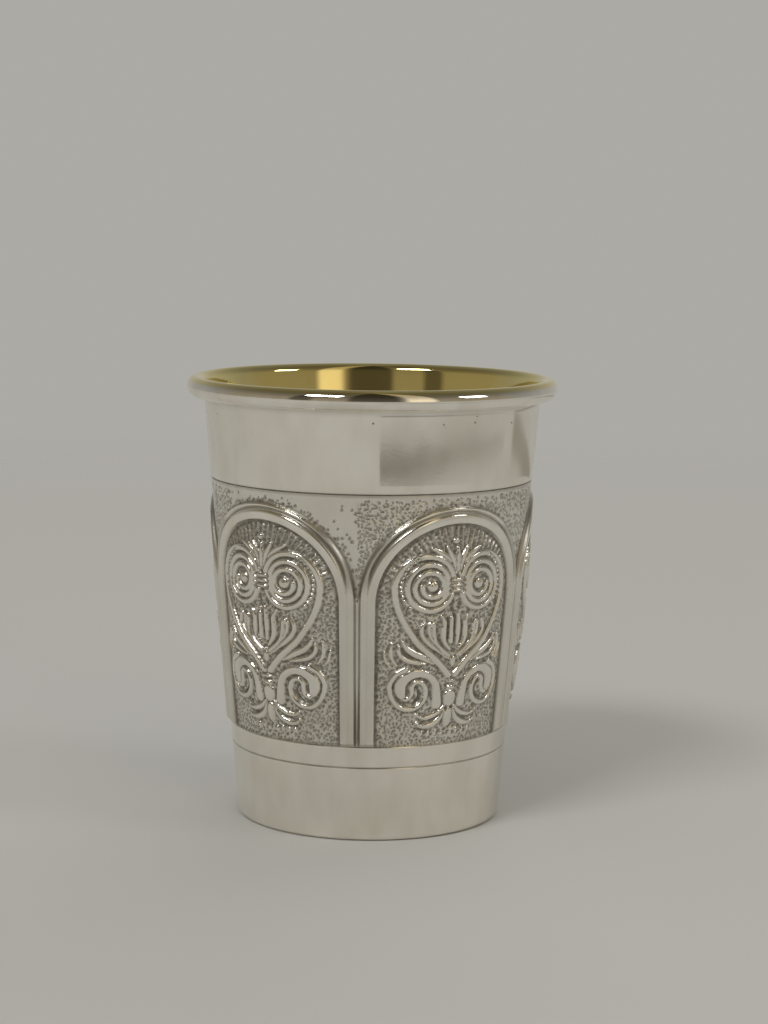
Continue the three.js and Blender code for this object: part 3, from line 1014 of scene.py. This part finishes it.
class KIDDUSH_OT_stage(Operator):
    """Sets the floor, the soft lights, the surroundings and the camera"""

    bl_idname = "kiddush.stage"
    bl_label = "Stage"

    def execute(self, context):
        finish = settings().finish
        floor = make_floor(finish)
        # Two sheets of painted shadow on the table, seen only in the polished wall's reflections.
        shadow_sheet_side = make_shadow_sheet("shadow_sheet_side", (10, 105), (240, 350), (275, 360), finish.shadow_sheet_side)
        shadow_sheet_far = make_shadow_sheet("shadow_sheet_far", (115, 155), (360, 360), (440, 440), finish.shadow_sheet_far)
        make_world(finish)
        softbox("key_softbox", azimuth=-31, elevation=46, distance=2.4, size=(0.76, 0.46), power=15.5)
        softbox("side_softbox", azimuth=74, elevation=30, distance=2.4, size=(0.66, 0.5), power=5.5)
        wash = softbox("back_wash", azimuth=160, elevation=30, distance=2.5, size=(2.5, 1), power=12.5)
        wash.visible_glossy = False
        fill = softbox("front_fill", azimuth=0, elevation=72, distance=3, size=(6, 6), power=55)
        fill.visible_glossy = False
        context.scene.view_settings.view_transform = "Standard"
        make_camera(context.scene)
        return {"FINISHED"}


def flat_sheet(name, outline, lift=0.0):
    """A flat stage piece with one face, lifted a little over the table."""
    mesh = bpy.data.meshes.new(name)
    mesh.from_pydata(outline, [], [tuple(range(len(outline)))])
    sheet = bpy.data.objects.new(name, mesh)
    bpy.context.scene.collection.objects.link(sheet)
    sheet.location.z = CUP_LOW.z + lift
    return sheet


def make_floor(finish):
    """A round floor on which the cup stands."""
    radius = 0.8
    sides = 96
    rim = [
        (radius * math.cos(a), radius * math.sin(a), 0.0)
        for a in np.arange(sides) * 2 * math.pi / sides
    ]
    floor = flat_sheet("floor", rim)
    floor.data.materials.append(floor_material(finish))
    return floor


def make_shadow_sheet(name, azimuths, near, far, colour):
    """A sheet of painted shadow that bends round the cup on the table: only reflections see it,
    so the polished wall mirrors it as a dark patch.

    It reaches between two azimuths in degrees. Its near and its far edge each go from one distance
    to another, in millimetres, and bend outward with the square of the way along.
    """
    steps = 24
    lift = 0.5 * MM
    share = np.linspace(0, 1, steps + 1)
    angle = np.radians(azimuths[0] + (azimuths[1] - azimuths[0]) * share)

    def edge(start, end):
        radius = (start + (end - start) * share**2) * MM
        return np.stack([radius * np.sin(angle), -radius * np.cos(angle), 0 * angle], 1).tolist()

    shadow_sheet = flat_sheet(name, edge(*near) + edge(*far)[::-1], lift)
    shadow_sheet.visible_camera = False
    shadow_sheet.visible_diffuse = False
    shadow_sheet.visible_shadow = False
    material, tree, output = new_material(f"{name}_matt")
    painted_shadow = add_node(tree, "ShaderNodeBsdfDiffuse", None, {"Color": linear(colour)})
    tree.links.new(painted_shadow.outputs["BSDF"], output.inputs["Surface"])
    shadow_sheet.data.materials.append(material)
    return shadow_sheet


# The room's walls, and what stands out on them: azimuths in degrees from the front, and a tone as
# a share of the room's brightest.
SIDE_WALLS = 0.28
BACK_WALL = 0.45
ROOM_FEATURES = (
    (-45, -35, 0.1),  # a narrow dark gap
    (-8, 20, 0.08),  # a dark doorway
    (28, 42, 1.0),  # a bright window
)


def room_stops():
    """The room's tones round the cup, with a soft edge to each feature."""
    soft = 4
    side_end = 110
    stops = [(-180, BACK_WALL), (180, BACK_WALL), (-side_end, SIDE_WALLS), (side_end, SIDE_WALLS)]
    for start, end, tone in ROOM_FEATURES:
        stops += [(start - soft, SIDE_WALLS), (start, tone), (end, tone), (end + soft, SIDE_WALLS)]
    return stops


def make_world(finish):
    """A plain room: a pale sweep behind the cup, and dimmer walls with a window in front."""
    world = bpy.data.worlds.new("plain_room")
    bpy.context.scene.world = world
    world.use_nodes = True
    tree = world.node_tree
    tree.nodes.clear()
    direction = add_node(tree, "ShaderNodeTexCoord").outputs["Generated"]
    parts = add_node(tree, "ShaderNodeSeparateXYZ", None, {"Vector": direction})
    x, y, z = (parts.outputs[axis] for axis in "XYZ")
    front = add_node(tree, "ShaderNodeMath", {"operation": "MULTIPLY"}, {0: y, 1: -1.0})
    inputs = {0: x, 1: front.outputs["Value"]}
    turn = add_node(tree, "ShaderNodeMath", {"operation": "ARCTAN2"}, inputs)
    inputs = {0: turn.outputs["Value"], 1: 0.5 / math.pi, 2: 0.5}
    round_room = add_node(tree, "ShaderNodeMath", {"operation": "MULTIPLY_ADD"}, inputs)
    tones = add_node(tree, "ShaderNodeValToRGB", None, {"Fac": round_room.outputs["Value"]})
    elements = tones.color_ramp.elements
    for index, (degrees, tone) in enumerate(room_stops()):
        place = 0.5 + degrees / 360
        element = elements[index] if index < 2 else elements.new(place)
        element.position = place
        element.color = (tone, tone, tone, 1.0)
    brightest = 2.4
    overhead = 0.42 * brightest
    eased = {}
    for title, *row in (
        ("upward", z, 0.05, 0.85, brightest, overhead),
        ("below", z, -0.12, 0.02, 1.0, 0.0),
        ("behind", y, -0.1, 0.4, 0.0, 1.0),
    ):
        inputs = dict(zip(RANGE, row))
        eased[title] = add_node(tree, "ShaderNodeMapRange", EASED, inputs).outputs["Result"]
    inputs = {0: tones.outputs["Color"], 1: eased["upward"]}
    walls = add_node(tree, "ShaderNodeMath", {"operation": "MULTIPLY"}, inputs)
    inputs = {"Factor": eased["below"], "A": walls.outputs["Value"], "B": 1.0}
    shade = add_node(tree, "ShaderNodeMix", {"data_type": "FLOAT"}, inputs)
    inputs = {0: eased["below"], 1: eased["behind"]}
    sweep = add_node(tree, "ShaderNodeMath", {"operation": "MAXIMUM"}, inputs)
    inputs = {
        "Factor": sweep.outputs["Value"], "A": linear(finish.room), "B": linear(finish.backdrop)
    }
    paint = add_node(tree, "ShaderNodeMix", {"data_type": "RGBA"}, inputs)
    inputs = {"Color": paint.outputs["Result"], "Strength": shade.outputs["Result"]}
    room = add_node(tree, "ShaderNodeBackground", None, inputs)
    inputs = {"Color": linear(finish.backdrop), "Strength": 1.0}
    plain = add_node(tree, "ShaderNodeBackground", None, inputs)
    path = add_node(tree, "ShaderNodeLightPath")
    inputs = {
        0: path.outputs["Is Camera Ray"],
        1: room.outputs["Background"],
        2: plain.outputs["Background"],
    }
    mixed = add_node(tree, "ShaderNodeMixShader", None, inputs)
    output = add_node(tree, "ShaderNodeOutputWorld")
    tree.links.new(mixed.outputs["Shader"], output.inputs["Surface"])


def softbox(name, azimuth, elevation, distance, size, power):
    """A soft light, as wide and as tall as size says, aimed at the middle of the cup."""
    light = bpy.data.lights.new(name, "AREA")
    light.shape = "RECTANGLE"
    light.size, light.size_y = size
    light.energy = power
    lamp = bpy.data.objects.new(name, light)
    bpy.context.scene.collection.objects.link(lamp)
    azimuth = math.radians(azimuth)
    elevation = math.radians(elevation)
    level = math.cos(elevation)
    offset = Vector((math.sin(azimuth) * level, -math.cos(azimuth) * level, math.sin(elevation)))
    target = Vector((0, 0, CUP_HIGH.z / 2))
    lamp.location = target + offset * distance
    lamp.rotation_euler = offset.to_track_quat("Z", "Y").to_euler()
    lamp.visible_camera = False
    return lamp


def make_camera(scene):
    """A long lens a little above the rim, level with the room but for a slight roll."""
    camera_data = bpy.data.cameras.new("camera")
    camera_data.sensor_fit = "VERTICAL"
    camera_data.sensor_height = 36.0
    camera_data.lens = 86.8
    camera = bpy.data.objects.new("camera", camera_data)
    scene.collection.objects.link(camera)
    azimuth = math.radians(4.3)
    away = 0.4461
    sideways = 0.00235
    height = 0.1144
    back = Vector((math.sin(azimuth), -math.cos(azimuth), 0))
    right = Vector((math.cos(azimuth), math.sin(azimuth), 0))
    camera.location = back * away + right * sideways + Vector((0, 0, height))
    tilt = math.radians(90 - 7.56)
    roll = math.radians(0.68)
    camera.rotation_mode = "XYZ"
    camera.rotation_euler = (tilt, 0, azimuth)
    camera.rotation_euler.rotate_axis("Z", roll)
    scene.camera = camera


class KiddushCup(PropertyGroup):
    """Everything that a user would change."""

    sizes: PointerProperty(type=CupSizes)
    relief: PointerProperty(type=ReliefSizes)
    finish: PointerProperty(type=CupFinish)


class KIDDUSH_PT_panel(Panel):
    """Lists the steps and the colours"""

    bl_label = "Kiddush cup"
    bl_idname = "KIDDUSH_PT_panel"
    bl_space_type = "VIEW_3D"
    bl_region_type = "UI"
    bl_category = "Cup"

    def draw(self, context):
        layout = self.layout
        cup = context.scene.kiddush_cup
        for title in ("height", "rim_tube", "facets"):
            layout.prop(cup.sizes, title)
        for title in ("swell", "arch_raise", "mat_pitch"):
            layout.prop(cup.relief, title)
        for title in ("silver", "tarnish_and_shade", "gilt", "floor"):
            layout.prop(cup.finish, title)
        for step in STEPS:
            layout.operator(step.bl_idname)


STEPS = (KIDDUSH_OT_bowl, KIDDUSH_OT_panels, KIDDUSH_OT_stage)
CLASSES = (CupSizes, ReliefSizes, CupFinish, KiddushCup, *STEPS, KIDDUSH_PT_panel)


def register():
    for item in CLASSES:
        bpy.utils.register_class(item)
    bpy.types.Scene.kiddush_cup = PointerProperty(type=KiddushCup)


def unregister():
    del bpy.types.Scene.kiddush_cup
    for item in reversed(CLASSES):
        bpy.utils.unregister_class(item)


def main():
    register()
    bpy.ops.kiddush.bowl()
    bpy.ops.kiddush.panels()
    bpy.ops.kiddush.stage()


if __name__ == "__main__":
    main()
